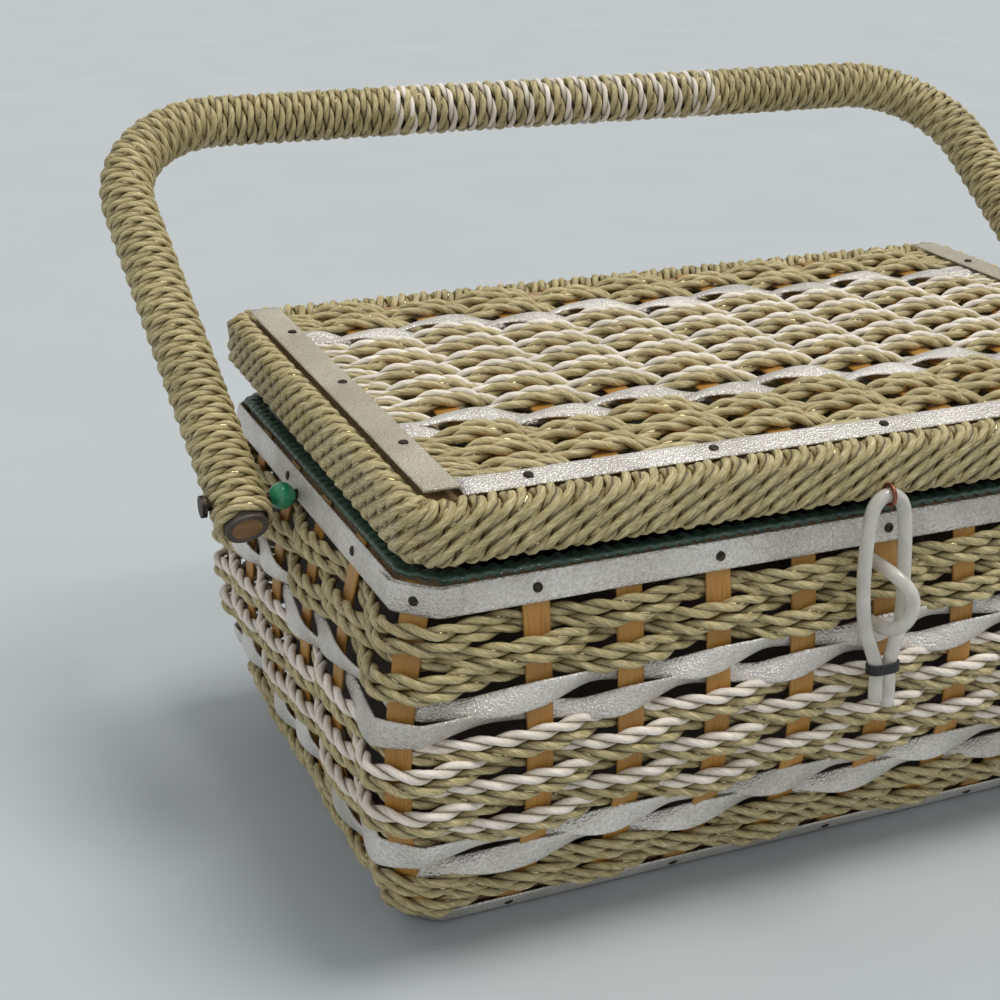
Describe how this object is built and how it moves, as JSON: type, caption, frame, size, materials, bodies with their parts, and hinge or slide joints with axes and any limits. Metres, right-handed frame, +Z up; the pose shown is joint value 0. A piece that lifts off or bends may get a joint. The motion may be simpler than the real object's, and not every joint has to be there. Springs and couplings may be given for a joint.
{
  "type": "wicker sewing basket",
  "caption": "Rectangular woven sewing basket with bulging sides, a hinged woven lid, a wrapped bail handle that swings, a clear loop latch and a satin lining.",
  "frame": {"origin": "middle of the base board's underside, on the surface that the basket stands on", "axes": "X along the long front to the right, Y from the front to the hinged back, Z up"},
  "size_m": [0.3447, 0.2521, 0.202],
  "materials": {
    "bamboo": "satin",
    "khaki_cord": "matte with fine gold glints",
    "white_cord": "matte",
    "pearl_vinyl": "pearly, grained",
    "plain_wood": "raw",
    "green_satin": "silky",
    "glitter_braid": "metallic thread",
    "dark_nail": "dull",
    "clear_tube": "milky, see-through",
    "copper_wire": "dull copper",
    "jade_bead": "glossy",
    "fibre_tube": "matte",
    "black_thread": "matte"
  },
  "bodies": {
    "basket": {"base_board": "plain_wood", "base_strip": "pearl_vinyl", "rim_lath": "plain_wood", "rim_strip": "pearl_vinyl", "wall_nails": "dark_nail", "front_stakes": "bamboo", "back_stakes": "bamboo", "left_stakes": "bamboo", "right_stakes": "bamboo", "corner_stakes": "bamboo", "khaki_weaver_01": "khaki_cord", "khaki_weaver_02": "khaki_cord", "khaki_weaver_03": "khaki_cord", "khaki_weaver_06": "khaki_cord", "khaki_weaver_07": "khaki_cord", "khaki_weaver_08": "khaki_cord", "khaki_weaver_09": "khaki_cord", "khaki_weaver_10": "khaki_cord", "khaki_weaver_13": "khaki_cord", "khaki_weaver_14": "khaki_cord", "khaki_weaver_15": "khaki_cord", "white_weaver_06": "white_cord", "white_weaver_07": "white_cord", "white_weaver_08": "white_cord", "white_weaver_09": "white_cord", "white_weaver_10": "white_cord", "vinyl_weaver_04": "pearl_vinyl", "vinyl_weaver_05": "pearl_vinyl", "vinyl_weaver_11": "pearl_vinyl", "vinyl_weaver_12": "pearl_vinyl", "base_lining": "green_satin", "front_lining": "green_satin", "back_lining": "green_satin", "left_lining": "green_satin", "right_lining": "green_satin", "lining_trim": "glitter_braid", "catch_loop": "clear_tube", "pivot_pins": "dark_nail", "pivot_beads": "jade_bead"},
    "lid": {"lid_frame": "plain_wood", "lid_ledge": "plain_wood", "lid_rim_wrap": "khaki_cord", "lid_lining": "green_satin", "lid_stakes": "bamboo", "lid_khaki_weavers": "khaki_cord", "lid_white_weavers": "white_cord", "lid_vinyl_weavers": "pearl_vinyl", "lid_strips": "pearl_vinyl", "lid_nails": "dark_nail", "hinge_rings": "clear_tube", "latch_staple": "copper_wire"},
    "handle": {"handle_core": "plain_wood", "handle_tube": "fibre_tube", "left_handle_wrap": "khaki_cord", "right_handle_wrap": "khaki_cord", "white_grip_binding": "white_cord", "khaki_grip_binding": "khaki_cord"},
    "latch": {"latch_loop": "clear_tube", "latch_thread": "black_thread"}
  },
  "joints": [
    {"name": "lid_hinge", "type": "hinge", "parent": "basket", "child": "lid", "pos_m": [0, 0.088, 0.118], "axis": [-1, 0, 0], "range_deg": [0, 95], "deforming": ["catch_loop"]},
    {"name": "handle_pivot", "type": "hinge", "parent": "basket", "child": "handle", "pos_m": [0, 0.005, 0.106], "axis": [1, 0, 0], "range_deg": [-68, 182]},
    {"name": "latch_swing", "type": "hinge", "parent": "lid", "child": "latch", "pos_m": [-0.006, -0.0935, 0.12083], "axis": [-1, 0, 0], "range_deg": [0, 150]}
  ]
}
